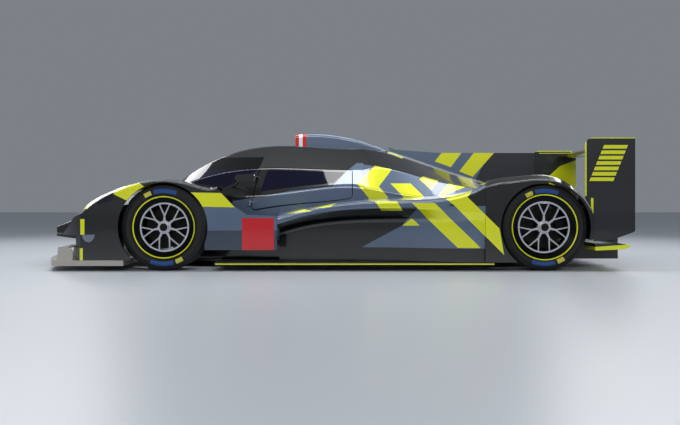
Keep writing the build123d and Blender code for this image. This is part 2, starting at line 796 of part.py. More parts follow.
# Engine and gearbox as plain blocks
engine_front_x = cover_front_x + 20
engine_rear_x = 900.0
engine_half_width = 280.0
engine_top = 560.0
gearbox_half_width = 150.0
gearbox_rear_x = 1980.0
gearbox_bottom = 215.0
gearbox_top = 455.0
engine = block(engine_front_x, engine_rear_x, -engine_half_width, engine_half_width,
               floor_bottom + floor_thickness, engine_top)
gearbox = block(engine_rear_x, gearbox_rear_x, -gearbox_half_width, gearbox_half_width,
                gearbox_bottom, gearbox_top)
powertrain = engine + gearbox
save(powertrain, "powertrain")

rear_upright = Pos(rear_axle_x, 0, tyre_radius) * upright()
rear_arms = wishbones(rear_axle_x, gearbox_half_width + seat_gap, wishbone_spread + 60, -30)
shaft = cross_cylinder(rear_axle_x, tyre_radius, 16, -steer_axis_y + upright_depth / 2,
                       -gearbox_half_width - seat_gap)
rear_half = rear_upright + shaft
for arm in rear_arms:
    rear_half += arm
save(pair(rear_half), "rear_suspension")

# Seat
seat_y = 120.0
seat_half_width = 215.0
seat_base_z = cockpit_base_z + cockpit_wall + seat_gap
seat_outline = [(-430, seat_base_z), (-470, 190), (-440, 205), (-120, 150), (60, 640), (130, 640), (20, seat_base_z)]
seat_hollow_outline = [(-490, 150), (-490, 260), (10, 700), (85, 700), (-75, 135)]
seat_wing = 30.0
seat_body = side_prism(seat_outline, seat_y - seat_half_width, seat_y + seat_half_width, 15)
seat_hollow = side_prism(seat_hollow_outline, seat_y - seat_half_width + seat_wing,
                         seat_y + seat_half_width - seat_wing, 12)
save(seat_body - seat_hollow, "seat")

# Dashboard across the cockpit, with the steering wheel on its column
dash_outline = [(-775, 520), (-775, 600), (-660, 610), (-660, 545), (-700, 505)]
dash_half_width = 508.0
dash = side_prism(dash_outline, -dash_half_width, dash_half_width)
grip_tilt = 68.0
grip_x = -520.0
grip_z = 492.0
grip_thickness = 20.0
grip = extrude(RectangleRounded(150, 280, 45), amount=grip_thickness)
for side in (-1, 1):
    grip -= extrude(Pos(0, side * 74, -1) * RectangleRounded(90, 62, 20), amount=grip_thickness + 2)
steering_column = extrude(Circle(16), amount=-160)
wheel_place = Pos(grip_x, seat_y, grip_z) * Rot(0, grip_tilt, 0)
steering_wheel = wheel_place * (grip + steering_column)
save(Compound(children=[dash.solid(), (steering_wheel - dash).solid()]), "dashboard")

# Rear tow eye on the tail's centre line
eye_x = 2118.0
eye_z = 335.0
eye_hole_radius = 25.0
eye_thickness = 14.0
eye_wall = 13.0
eye = cross_cylinder(eye_x, eye_z, eye_hole_radius + eye_wall, -eye_thickness / 2, eye_thickness / 2)
eye += block(cover_rear_x + 12 + seat_gap, eye_x, -eye_thickness / 2, eye_thickness / 2, eye_z - 22, eye_z + 22)
eye -= cross_cylinder(eye_x, eye_z, eye_hole_radius, -eye_thickness, eye_thickness)
save(eye, "tow_eye")
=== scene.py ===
"""Looks of the closed-cockpit sports prototype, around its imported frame. Metres, +Z up."""
import logging
import math
from dataclasses import dataclass
from enum import Enum

import bmesh
import bpy
from mathutils import Matrix, Vector


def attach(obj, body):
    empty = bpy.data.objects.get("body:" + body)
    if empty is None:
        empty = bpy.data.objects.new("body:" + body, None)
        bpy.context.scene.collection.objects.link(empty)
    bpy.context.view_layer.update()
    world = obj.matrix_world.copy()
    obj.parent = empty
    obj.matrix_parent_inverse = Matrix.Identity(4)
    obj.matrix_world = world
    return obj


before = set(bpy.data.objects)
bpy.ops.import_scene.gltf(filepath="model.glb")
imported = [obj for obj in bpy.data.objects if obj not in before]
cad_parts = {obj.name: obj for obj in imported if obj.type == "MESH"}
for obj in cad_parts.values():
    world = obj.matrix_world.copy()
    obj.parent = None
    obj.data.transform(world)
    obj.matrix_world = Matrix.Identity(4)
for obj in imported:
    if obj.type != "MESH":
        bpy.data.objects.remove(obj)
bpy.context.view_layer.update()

LOG = logging.getLogger("prototype")

# The photograph's own frame, and where its camera stood: pixels, then metres
PHOTO_WIDTH = 680.0
PHOTO_CENTRE_X = 340.0
PHOTO_MIDDLE_Y = 212.5
HORIZON_Y = 200.0
FOCAL_PIXELS = 854.0
SENSOR_MM = 36.0
CAMERA_X = 0.071
CAMERA_Y = -7.45
CAMERA_Z = 0.543

FRONT_AXLE_X = -1.279
REAR_AXLE_X = 1.639
AXLE_Z = 0.334
FLANK_Y = 0.93
CABIN_FLANK_Y = 0.58
COVER_FLANK_Y = 0.50
# Paints, films and materials, in sRGB
YELLOW = "E2E600"
BLUE_GREY = "56677F"
BLACK = "050506"
DARK_GREY = "1B1E24"
RED = "C8000F"
WHITE = "E8E8E8"
FOLD_BLUE = "2E3A4D"
# A painted highlight: the grey half-disc of light inside the front corner's intake
INTAKE_HIGHLIGHT_GREY = "6A7688"
RIM_BLACK = "101114"
SPOKE_SILVER = "C9CBD0"
DISC_BROWN = "1C1A19"
RUBBER = "141416"
ARC_BLUE = "1E4A86"
ARC_YELLOW = "C8C24A"

# The shader that every new material has, and the colour sockets of a Mix node
SHADER = "Principled BSDF"
MIX_BELOW, MIX_ABOVE, MIX_RESULT = 6, 7, 2


class Side(Enum):
    """The two sides of the car, as the sign of Y."""

    LEFT = -1
    RIGHT = 1


def from_photo(px: float, py: float, depth_y: float) -> tuple[float, float]:
    """The (x, z) of a point seen at a pixel, on the near side's plane |y| = depth_y.

    Args:
        px: Pixel column.
        py: Pixel row.
        depth_y: Distance of the plane from the car's middle.

    Returns:
        The point's x and z in metres.
    """
    scale = (-depth_y - CAMERA_Y) / FOCAL_PIXELS
    return CAMERA_X + (px - PHOTO_CENTRE_X) * scale, CAMERA_Z - (py - HORIZON_Y) * scale


def hex_linear(code: str) -> tuple[float, float, float, float]:
    """An sRGB hex colour as linear RGBA.

    Args:
        code: Six hex digits.

    Returns:
        Linear red, green, blue and an alpha of 1.
    """
    parts = [int(code[i:i + 2], 16) / 255.0 for i in (0, 2, 4)]
    linear = [c / 12.92 if c <= 0.04045 else ((c + 0.055) / 1.055) ** 2.4 for c in parts]
    return linear[0], linear[1], linear[2], 1.0


def add_node(tree: bpy.types.NodeTree, kind: str, settings: dict | None = None,
             links: dict | None = None) -> bpy.types.Node:
    """Adds one node with its settings and links.

    Args:
        tree: The material's node tree.
        kind: The node's type.
        settings: Attributes by name, or input values by socket name or number.
        links: Output sockets by the input's name or number.

    Returns:
        The new node.
    """
    node = tree.nodes.new(kind)
    for key, value in (settings or {}).items():
        if isinstance(key, str) and hasattr(node, key):
            setattr(node, key, value)
        else:
            node.inputs[key].default_value = value
    for key, socket in (links or {}).items():
        tree.links.new(socket, node.inputs[key])
    return node


def math_node(tree: bpy.types.NodeTree, operation: str, first: object, second: object = 0.0) -> object:
    """A Math node's output, from sockets or numbers.

    Args:
        tree: The material's node tree.
        operation: The operation's name.
        first: A socket or a number.
        second: A socket or a number.

    Returns:
        The output socket.
    """
    settings, links = {"operation": operation}, {}
    for index, value in enumerate((first, second)):
        if isinstance(value, (int, float)):
            settings[index] = float(value)
        else:
            links[index] = value
    return add_node(tree, "ShaderNodeMath", settings, links).outputs[0]


def new_material(name: str) -> bpy.types.Material:
    """An empty node material."""
    material = bpy.data.materials.new(name)
    material.use_nodes = True
    return material


def rough_by_noise(tree: bpy.types.NodeTree, position: object, scale: float, detail: float,
                   span: tuple[float, float]) -> object:
    """Lets a noise vary the shader's roughness.

    Args:
        tree: The material's node tree.
        position: The object coordinates' socket.
        scale: The noise's scale, in cells to the metre.
        detail: The noise's octaves.
        span: The roughness where the noise is 0, and where it is 1.

    Returns:
        The noise's socket.
    """
    noise = add_node(tree, "ShaderNodeTexNoise", {"Scale": scale, "Detail": detail}, {"Vector": position})
    rough = add_node(tree, "ShaderNodeMapRange", {"To Min": span[0], "To Max": span[1]},
                     {"Value": noise.outputs["Fac"]})
    tree.links.new(rough.outputs["Result"], tree.nodes[SHADER].inputs["Roughness"])
    return noise.outputs["Fac"]


def bump_by(tree: bpy.types.NodeTree, height: object, strength: float, distance: float) -> None:
    """Lets a height socket tilt the shader's normal.

    Args:
        tree: The material's node tree.
        height: The height's socket.
        strength: How strongly it shows.
        distance: The height in metres that 1 stands for.
    """
    bump = add_node(tree, "ShaderNodeBump", {"Strength": strength, "Distance": distance}, {"Height": height})
    tree.links.new(bump.outputs["Normal"], tree.nodes[SHADER].inputs["Normal"])


def layer_colours(tree: bpy.types.NodeTree, base: str, layers: list[tuple[str, object]]) -> None:
    """Lays flat colours over a base colour, each where its mask is 1.

    Args:
        tree: The material's node tree.
        base: The base colour.
        layers: Each layer's colour and the socket of its mask, from below.
    """
    below: dict[int, object] = {}
    for code, mask in layers:
        colours = {"data_type": "RGBA", MIX_BELOW: hex_linear(base), MIX_ABOVE: hex_linear(code)}
        mix = add_node(tree, "ShaderNodeMix", colours, {"Factor": mask, **below})
        below = {MIX_BELOW: mix.outputs[MIX_RESULT]}
        tree.links.new(mix.outputs[MIX_RESULT], tree.nodes[SHADER].inputs["Base Color"])


def add_object(name: str, data: bpy.types.ID) -> bpy.types.Object:
    """Puts a mesh, a light or a camera into the scene as an object."""
    made = bpy.data.objects.new(name, data)
    bpy.context.scene.collection.objects.link(made)
    return made


def add_rounded_plate(mesh: bmesh.types.BMesh, size: tuple[float, float, float], middle: Vector,
                      corner: float) -> None:
    """Adds a thin plate, square to the axes, with rounded corners.

    Args:
        mesh: The bmesh that it goes into.
        size: Its size along X, Y and Z, of which the smallest is its thickness.
        middle: Its middle.
        corner: How far the corners are rounded.
    """
    place = Matrix.Translation(middle) @ Matrix.Diagonal((*size, 1.0))
    made = bmesh.ops.create_cube(mesh, size=1.0, matrix=place)
    thin = size.index(min(size))
    edges = {edge for vertex in made["verts"] for edge in vertex.link_edges}
    short = [e for e in edges if abs(e.verts[0].co[thin] - e.verts[1].co[thin]) > size[thin] * 0.5]
    bmesh.ops.bevel(mesh, geom=short, offset=corner, affect="EDGES", segments=3, profile=0.5, material=-1)


@dataclass(frozen=True)
class Lacquer:
    """Sprayed car lacquer: a clear coat over colour, with faint orange peel and dust in it."""

    name: str
    colour: str
    metallic: float = 0.0
    roughness: float = 0.35
    coat: float = 1.0
    coat_roughness: float = 0.03
    peel_mm: float = 9.0
    dust_scale: float = 3.0

    def build(self) -> bpy.types.Material:
        """Makes the material."""
        material = new_material(self.name)
        tree = material.node_tree
        shader = tree.nodes[SHADER]
        shader.inputs["Base Color"].default_value = hex_linear(self.colour)
        shader.inputs["Metallic"].default_value = self.metallic
        shader.inputs["Coat Weight"].default_value = self.coat
        shader.inputs["Coat Roughness"].default_value = self.coat_roughness
        position = add_node(tree, "ShaderNodeTexCoord").outputs["Object"]
        peel = add_node(tree, "ShaderNodeTexNoise", {"Scale": 1000.0 / self.peel_mm, "Detail": 2.0},
                        {"Vector": position})
        bump_by(tree, peel.outputs["Fac"], 0.02, 0.0004)
        rough_by_noise(tree, position, self.dust_scale, 6.0, (self.roughness - 0.06, self.roughness + 0.08))
        return material


@dataclass(frozen=True)
class Patch:
    """A convex painted patch, by its corners in the photograph, on a plane |y| = depth_y."""

    colour: str
    corners: tuple[tuple[float, float], ...]
    depth_y: float = FLANK_Y


@dataclass(frozen=True)
class Livery:
    """Lacquer with flat painted patches over it, seen square from the side."""

    base: Lacquer
    patches: tuple[Patch, ...]
    # Colour for faces whose normal points up past top_slope: partly paint, partly a painted highlight on tops
    # that face the light
    top_paint_and_sheen_colour: str = ""
    top_slope: float = 0.35

    def patch_mask(self, tree: bpy.types.NodeTree, position: object, patch: Patch) -> object:
        """A socket that is 1 inside a convex patch.

        Args:
            tree: The material's node tree.
            position: The object coordinates' socket.
            patch: The patch.

        Returns:
            The mask's socket.
        """
        points = [Vector(from_photo(px, py, patch.depth_y)) for px, py in patch.corners]
        centre = sum(points, Vector((0.0, 0.0))) / len(points)
        mask = None
        for start, end in zip(points, points[1:] + points[:1]):
            normal = Vector((start.y - end.y, end.x - start.x)).normalized()
            if normal.dot(centre - start) < 0:
                normal = -normal
            across = {"operation": "DOT_PRODUCT", 1: (normal.x, 0.0, normal.y)}
            dot = add_node(tree, "ShaderNodeVectorMath", across, {0: position})
            inside = math_node(tree, "GREATER_THAN", dot.outputs["Value"], normal.dot(start))
            mask = inside if mask is None else math_node(tree, "MULTIPLY", mask, inside)
        return mask

    def build(self) -> bpy.types.Material:
        """Makes the material, with one layer for each run of patches of one colour."""
        material = self.base.build()
        tree = material.node_tree
        position = add_node(tree, "ShaderNodeTexCoord").outputs["Object"]
        layers: list[tuple[str, object]] = []
        if self.top_paint_and_sheen_colour:
            # Faces that point up take the top colour: paint and painted highlight together
            normal = add_node(tree, "ShaderNodeNewGeometry").outputs["Normal"]
            up = add_node(tree, "ShaderNodeSeparateXYZ", links={0: normal}).outputs["Z"]
            layers.append((self.top_paint_and_sheen_colour, math_node(tree, "GREATER_THAN", up, self.top_slope)))
        for patch in self.patches:
            mask = self.patch_mask(tree, position, patch)
            if layers and layers[-1][0] == patch.colour:
                layers[-1] = (patch.colour, math_node(tree, "MAXIMUM", layers[-1][1], mask))
            else:
                layers.append((patch.colour, mask))
        layer_colours(tree, self.base.colour, layers)
        return material


@dataclass(frozen=True)
class CarbonWeave:
    """Bare carbon laminate under resin: a fine twill, drawn at 8 mm so that it shows."""

    name: str = "carbon_twill"
    thread_mm: float = 8.0
    warp: str = "0B0B0C"
    weft: str = "19191B"
    coat: float = 0.5
    coat_roughness: float = 0.15
    roughness: tuple[float, float] = (0.35, 0.55)

    def build(self) -> bpy.types.Material:
        """Makes the material."""
        material = new_material(self.name)
        tree = material.node_tree
        shader = tree.nodes[SHADER]
        shader.inputs["Coat Weight"].default_value = self.coat
        shader.inputs["Coat Roughness"].default_value = self.coat_roughness
        position = add_node(tree, "ShaderNodeTexCoord").outputs["Object"]
        turned = add_node(tree, "ShaderNodeMapping", {"Rotation": (0.0, 0.0, math.radians(45))},
                          {"Vector": position})
        threads = {"Scale": 1000.0 / self.thread_mm, "Color1": hex_linear(self.warp),
                   "Color2": hex_linear(self.weft)}
        checks = add_node(tree, "ShaderNodeTexChecker", threads, {"Vector": turned.outputs[0]})
        tree.links.new(checks.outputs["Color"], shader.inputs["Base Color"])
        rough_by_noise(tree, position, 6.0, 5.0, self.roughness)
        return material


@dataclass(frozen=True)
class Metal:
    """Machined or cast metal, with a worn, uneven grain."""

    name: str
    colour: str
    roughness: float
    metallic: float = 1.0
    grain_mm: float = 4.0

    def build(self) -> bpy.types.Material:
        """Makes the material."""
        material = new_material(self.name)
        tree = material.node_tree
        shader = tree.nodes[SHADER]
        shader.inputs["Base Color"].default_value = hex_linear(self.colour)
        shader.inputs["Metallic"].default_value = self.metallic
        position = add_node(tree, "ShaderNodeTexCoord").outputs["Object"]
        grain = rough_by_noise(tree, position, 1000.0 / self.grain_mm, 4.0,
                               (self.roughness - 0.08, self.roughness + 0.1))
        bump_by(tree, grain, 0.05, 0.0005)
        return material


@dataclass(frozen=True)
class TintedGlass:
    """Laminated or moulded glass, tinted dark, with an opaque black band above a height."""

    name: str
    tint: str = "0B0D22"
    band_z: float = 9.0
    roughness: float = 0.04
    specular: float = 0.4
    opacity: float = 0.93

    def build(self) -> bpy.types.Material:
        """Makes the material."""
        material = new_material(self.name)
        tree = material.node_tree
        shader = tree.nodes[SHADER]
        shader.inputs["Roughness"].default_value = self.roughness
        shader.inputs["Specular IOR Level"].default_value = self.specular
        position = add_node(tree, "ShaderNodeTexCoord").outputs["Object"]
        height = add_node(tree, "ShaderNodeSeparateXYZ", links={0: position}).outputs["Z"]
        band = math_node(tree, "GREATER_THAN", height, self.band_z)
        alpha = add_node(tree, "ShaderNodeMapRange", {"To Min": self.opacity, "To Max": 1.0}, {"Value": band})
        tree.links.new(alpha.outputs["Result"], shader.inputs["Alpha"])
        layer_colours(tree, self.tint, [(BLACK, band)])
        return material


@dataclass(frozen=True)
class Wheel:
    """One wheel's place and sizes, which its rim's and tyre's finishes follow.

    A pair of numbers is a range: of |y| for a name in _y, of the slope x over z for one in
    _slopes, and of the radius from the axle otherwise.
    """

    name: str
    axle_x: float
    flange: float
    ring: float
    spoke_y: tuple[float, float] = (0.8615, 0.889)
    spoke_start: float = 0.038
    hub_y: float = 0.86
    hub_radii: tuple[float, float] = (0.03, 0.056)
    line_y: float = 0.902
    disc_y: tuple[float, float] = (0.764, 0.797)
    disc_radii: tuple[float, float] = (0.055, 0.162)
    wall_y: float = 0.9
    band_radii: tuple[float, float] = (0.262, 0.296)
    arc_slopes: tuple[float, float] = (-0.28, 0.38)
    tip_slopes: tuple[float, float] = (-0.61, -0.36)
    rim_metallic: float = 0.85

    def polar(self, tree: bpy.types.NodeTree) -> tuple[object, object, object, object]:
        """Sockets for the radius from the axle, the distance |y|, and x and z from the axle."""
        position = add_node(tree, "ShaderNodeTexCoord").outputs["Object"]
        hub = (self.axle_x, 0.0, AXLE_Z)
        moved = add_node(tree, "ShaderNodeVectorMath", {"operation": "SUBTRACT", 1: hub}, {0: position})
        flat = add_node(tree, "ShaderNodeVectorMath", {"operation": "MULTIPLY", 1: (1.0, 0.0, 1.0)},
                        {0: moved.outputs[0]})
        radius = add_node(tree, "ShaderNodeVectorMath", {"operation": "LENGTH"}, {0: flat.outputs[0]})
        parts = add_node(tree, "ShaderNodeSeparateXYZ", links={0: moved.outputs[0]})
        across = math_node(tree, "ABSOLUTE", parts.outputs["Y"])
        return radius.outputs["Value"], across, parts.outputs["X"], parts.outputs["Z"]

    def between(self, tree: bpy.types.NodeTree, value: object, limits: tuple[float, float]) -> object:
        """A socket that is 1 where a value lies between two numbers."""
        above = math_node(tree, "GREATER_THAN", value, limits[0])
        return math_node(tree, "MULTIPLY", above, math_node(tree, "LESS_THAN", value, limits[1]))

    def rim(self) -> bpy.types.Material:
        """Forged magnesium rim: bright spoke faces, dark barrel, thin yellow line at the flange."""
        material = Metal(f"forged_rim_{self.name}", RIM_BLACK, 0.32, self.rim_metallic).build()
        tree = material.node_tree
        radius, across, _, _ = self.polar(tree)
        face = self.between(tree, across, self.spoke_y)
        spokes = math_node(tree, "MULTIPLY", face,
                           self.between(tree, radius, (self.spoke_start, self.ring + 0.0065)))
        hub = math_node(tree, "MULTIPLY", math_node(tree, "GREATER_THAN", across, self.hub_y),
                        self.between(tree, radius, self.hub_radii))
        bright = math_node(tree, "MAXIMUM", spokes, hub)
        edge = self.between(tree, radius, (self.flange - 0.0085, self.flange + 0.01))
        line = math_node(tree, "MULTIPLY", edge, math_node(tree, "GREATER_THAN", across, self.line_y))
        disc = math_node(tree, "MULTIPLY", self.between(tree, across, self.disc_y),
                         self.between(tree, radius, self.disc_radii))
        layer_colours(tree, RIM_BLACK, [(SPOKE_SILVER, bright), (DISC_BROWN, disc), (YELLOW, line)])
        metal = math_node(tree, "SUBTRACT", self.rim_metallic, line)
        tree.links.new(metal, tree.nodes[SHADER].inputs["Metallic"])
        return material

    def tyre(self) -> bpy.types.Material:
        """Racing slick rubber: satin all over, with moulded rings on the sidewall and plain coloured arcs."""
        material = new_material(f"slick_rubber_{self.name}")
        tree = material.node_tree
        tree.nodes[SHADER].inputs["Specular IOR Level"].default_value = 0.35
        radius, across, along, up = self.polar(tree)
        wall = math_node(tree, "GREATER_THAN", across, self.wall_y)
        band = math_node(tree, "MULTIPLY", wall, self.between(tree, radius, self.band_radii))
        slope = math_node(tree, "DIVIDE", along, up)
        arc = math_node(tree, "MULTIPLY", band, self.between(tree, slope, self.arc_slopes))
        tips = math_node(tree, "MULTIPLY", band, self.between(tree, slope, self.tip_slopes))
        layer_colours(tree, RUBBER, [(ARC_BLUE, arc), (ARC_YELLOW, tips)])
        ripple = math_node(tree, "SINE", math_node(tree, "MULTIPLY", radius, 900.0))
        bump_by(tree, ripple, 0.15, 0.0006)
        position = add_node(tree, "ShaderNodeTexCoord").outputs["Object"]
        rough_by_noise(tree, position, 40.0, 6.0, (0.5, 0.7))
        return material


def patch(colour: str, corners: list[tuple[float, float]], depth_y: float = FLANK_Y) -> Patch:
    """A patch from a list of corners."""
    return Patch(colour, tuple(corners), depth_y)


SHOULDER_PATCHES = (
    patch(BLUE_GREY, [(196, 206.8), (224, 206.8), (224, 230.5), (196, 230.5)]),
    patch(FOLD_BLUE, [(196, 230.5), (224, 230.5), (224, 252), (196, 252)]),
    # Painted highlight: the half-disc of light inside the intake, in grey
    patch(INTAKE_HIGHLIGHT_GREY, [(82.7, 234.6), (95.4, 234.6), (94.8, 238), (92.6, 241), (89.2, 242.4),
                       (85.8, 241), (83.4, 238)]),
    patch(YELLOW, [(106, 190), (134.6, 180), (147.8, 188.4), (129.5, 201.6)]),
    patch(YELLOW, [(83, 209), (91.5, 199), (95, 201), (88, 209)]),
    patch(YELLOW, [(80.2, 248), (83.6, 248), (83.6, 263), (80.2, 263)]),
    patch(YELLOW, [(187.4, 192.4), (221.3, 193), (235, 207.3), (203, 206.7)]),
    patch(YELLOW, [(81, 219), (85.2, 219), (85.2, 234.6), (81, 234.6)]),
)
PANEL_PATCHES = (
    patch(BLUE_GREY, [(190, 206.8), (280, 206.8), (280, 230.5), (190, 230.5)]),
    patch(FOLD_BLUE, [(190, 230.5), (280, 230.5), (280, 252), (190, 252)]),
    patch(YELLOW, [(187.4, 192.4), (221.3, 193), (235, 207.3), (203, 206.7)]),
)
CABIN_PATCHES = (
    patch(BLUE_GREY, [(232, 201), (262, 196.5), (262, 240), (232, 240)], CABIN_FLANK_Y),
    patch(BLUE_GREY, [(262, 196.5), (290, 191), (332.7, 186.1), (332.7, 240), (262, 240)], CABIN_FLANK_Y),
    patch(BLUE_GREY, [(332.7, 186.1), (346.7, 170.8), (357, 162), (382, 162), (382, 240), (332.7, 240)],
          CABIN_FLANK_Y),
    patch(YELLOW, [(375.2, 165.5), (392.1, 169.3), (378.4, 186.6), (356.9, 183.4)], CABIN_FLANK_Y),
    patch(YELLOW, [(356.9, 183.4), (378.4, 186.6), (390, 200.2), (370, 200.2)], CABIN_FLANK_Y),
)
COVER_PATCHES = (
    patch(BLUE_GREY, [(340, 162), (356, 162.3), (393, 169.6), (431.7, 180), (431.7, 240), (340, 240)],
          COVER_FLANK_Y),
    patch(BLUE_GREY, [(431.7, 180), (475, 189), (475, 240), (431.7, 240)], COVER_FLANK_Y),
    patch(YELLOW, [(375.2, 165.5), (392.1, 169.3), (378.4, 186.6), (356.9, 183.4)], COVER_FLANK_Y),
    patch(YELLOW, [(356.9, 183.4), (378.4, 186.6), (390, 200.2), (370, 200.2)], COVER_FLANK_Y),
    patch(YELLOW, [(390, 183.5), (410.2, 183.5), (424, 198), (403.8, 198.5)], COVER_FLANK_Y),
    patch(YELLOW, [(423.6, 176.2), (439.2, 180.6), (430.7, 189.7), (419.4, 179.3)], COVER_FLANK_Y),
    patch(YELLOW, [(448.6, 183.3), (465.1, 187.1), (436.5, 196.9)], COVER_FLANK_Y),
    patch(YELLOW, [(388, 152), (391, 149.4), (405.7, 156), (403, 158)], 0.3),
)
POD_PATCHES = (
    # The shoulder ridge band: partly its blue-grey paint, partly a painted highlight for the bright strip along
    # its rounded face
    patch(BLUE_GREY, [(277, 212), (277, 224), (340, 210.5), (340, 198)]),
    patch(BLUE_GREY, [(340, 198), (340, 210.5), (400, 207.5), (400, 196)]),
    patch(BLUE_GREY, [(400, 196), (400, 207.5), (447, 207), (476, 188), (447, 190)]),
    patch(BLUE_GREY, [(403.5, 226), (419, 206), (490, 206), (506, 250), (480, 248.5)]),
    patch(BLUE_GREY, [(362.6, 248.6), (403.5, 226), (480, 226), (504, 248.6)]),
    patch(YELLOW, [(375.2, 201.5), (397, 201.5), (403, 210.8), (381.5, 210.8)]),
    patch(YELLOW, [(412, 203), (434.7, 203), (480.7, 248), (458, 248)]),
    patch(YELLOW, [(412.9, 218.6), (420.9, 225.9), (403.5, 226.2)]),
    patch(YELLOW, [(475.8, 187.3), (467.1, 196.9), (453.9, 205.2), (445.9, 198.9)]),
    patch(YELLOW, [(467.1, 196.9), (499, 228.4), (503.7, 254.9), (453.9, 205.2)]),
    patch(YELLOW, [(282, 214.5), (300, 208), (312, 211)]),
    patch(YELLOW, [(308, 209), (337, 203), (330, 207)]),
)
FENDER_PATCHES = (
    patch(YELLOW, [(475.8, 187.3), (467.1, 196.9), (453.9, 205.2), (445.9, 198.9)]),
    patch(YELLOW, [(467.1, 196.9), (499, 228.4), (503.7, 254.9), (453.9, 205.2)]),
)
FIN_PATCHES = (
    patch(BLUE_GREY, [(380, 140), (496, 140), (470, 190), (380, 190)], 0.008),
    patch(YELLOW, [(443.2, 150.9), (462.9, 150.9), (450.8, 167.2), (434.7, 161.4)], 0.008),
    patch(YELLOW, [(475.4, 150.8), (495.9, 150.8), (472.7, 176.8), (459.3, 171.3)], 0.008),
    patch(YELLOW, [(549, 176), (560, 166), (576, 160), (576, 188), (549, 188)], 0.008),
    patch(YELLOW, [(539, 149), (576, 149), (576, 153.6), (539, 153.6)], 0.008),
)
SCOOP_PATCHES = (
    patch(RED, [(290, 125), (299, 125), (299, 160), (290, 160)], 0.09),
    patch(WHITE, [(299, 125), (302.6, 125), (302.6, 160), (299, 160)], 0.09),
    patch(RED, [(302.6, 125), (306.5, 125), (306.5, 160), (302.6, 160)], 0.09),
)
# A generic sliced, slanted design on the endplates, with the yellow edge line
ENDPLATE_DEPTH = 0.904
ENDPLATE_PATCHES = (
    patch(YELLOW, [(584, 136), (636, 136), (636, 138.4), (584, 138.4)], ENDPLATE_DEPTH),
    patch(YELLOW, [(584, 136), (586.6, 136), (586.6, 196), (584, 196)], ENDPLATE_DEPTH),
    patch(YELLOW, [(591, 198), (593.4, 198), (593.4, 243), (591, 243)], ENDPLATE_DEPTH),
    *(patch(YELLOW, [(604 - 2.2 * i, 145 + 5.4 * i), (628 - 2.2 * i, 145 + 5.4 * i),
                     (626.6 - 2.2 * i, 148.6 + 5.4 * i), (602.6 - 2.2 * i, 148.6 + 5.4 * i)], ENDPLATE_DEPTH)
      for i in range(7)),
)
WINGLET_PATCHES = (patch(YELLOW, [(585, 247.6), (640, 243.4), (640, 256), (585, 256)]),)


class Finishes:
    """Every node's finish, made once and handed out by node."""

    def __init__(self) -> None:
        """Makes the materials."""
        self.by_node: dict[str, bpy.types.Material] = {}
        liveries = {
            "front_fenders": Livery(Lacquer("shoulder_livery", BLACK, 0.0, 0.3), SHOULDER_PATCHES),
            "side_panels": Livery(Lacquer("panel_livery", BLACK, 0.25, 0.35), PANEL_PATCHES),
            "tub": Livery(Lacquer("cabin_livery", BLACK, 0.25, 0.3), CABIN_PATCHES),
            "engine_cover": Livery(Lacquer("cover_livery", BLACK, 0.25, 0.33), COVER_PATCHES),
            # Sidepod tops in blue-grey: partly paint, partly a painted highlight where they face the light
            "sidepods": Livery(Lacquer("sidepod_livery", BLACK, 0.25, 0.33), POD_PATCHES, BLUE_GREY),
            "rear_fenders": Livery(Lacquer("rear_fender_livery", BLACK, 0.1, 0.3), FENDER_PATCHES),
            "fin": Livery(Lacquer("fin_livery", DARK_GREY, 0.25, 0.35), FIN_PATCHES),
            "air_scoop": Livery(Lacquer("scoop_livery", BLUE_GREY, 0.25, 0.35), SCOOP_PATCHES),
            "endplates": Livery(Lacquer("endplate_livery", "101216", 0.1, 0.35), ENDPLATE_PATCHES),
            "rear_winglets": Livery(Lacquer("winglet_livery", BLACK, 0.1, 0.3), WINGLET_PATCHES),
        }
        for node, livery in liveries.items():
            self.by_node[node] = livery.build()
        self.by_node["door_left"] = self.by_node["door_right"] = self.by_node["tub"]
        gloss = Lacquer("gloss_black_lacquer", BLACK, 0.0, 0.3).build()
        for node in ("nose", "rear_wing", "mirrors"):
            self.by_node[node] = gloss
        self.by_node["splitter"] = Lacquer("splitter_beige_lacquer", "A9A49B", 0.0, 0.4, 0.6).build()
        self.by_node["sill_strips"] = Lacquer("sill_yellow_lacquer", YELLOW, 0.0, 0.35).build()
        carbon = CarbonWeave().build()
        for node in ("floor", "diffuser", "tail_panel", "dashboard"):
            self.by_node[node] = carbon
        dark = Metal("dark_machined_steel", "1B1C1F", 0.4).build()
        for node in ("front_suspension", "rear_suspension", "knuckle_left", "knuckle_right", "tow_eye"):
            self.by_node[node] = dark
        self.by_node["powertrain"] = Metal("cast_magnesium", "5A5A58", 0.55, 0.8, 12.0).build()
        self.by_node["seat"] = CarbonWeave("seat_cloth", 5.0).build()
        self.by_node["headlamps"] = TintedGlass("smoked_lamp_lens", "24272E").build()
        self.by_node["tail_lamps"] = Lacquer("red_lamp_lens", "A40008", 0.0, 0.3, 0.25).build()
        self.by_node["windscreen"] = TintedGlass("tinted_screen", band_z=0.797).build()
        window = TintedGlass("tinted_window").build()
        self.by_node["window_left"] = self.by_node["window_right"] = window
        for wheel in (Wheel("front", FRONT_AXLE_X, 0.239, 0.183), Wheel("rear", REAR_AXLE_X, 0.253, 0.193)):
            rim, tyre = wheel.rim(), wheel.tyre()
            for side in ("left", "right"):
                self.by_node[f"rim_{wheel.name}_{side}"] = rim
                self.by_node[f"tyre_{wheel.name}_{side}"] = tyre

    def dress(self) -> None:
        """Gives every CAD node its finish."""
        for node, material in self.by_node.items():
            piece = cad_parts[node]
            piece.data.materials.clear()
            piece.data.materials.append(material)
            LOG.info("dressed %s", node)


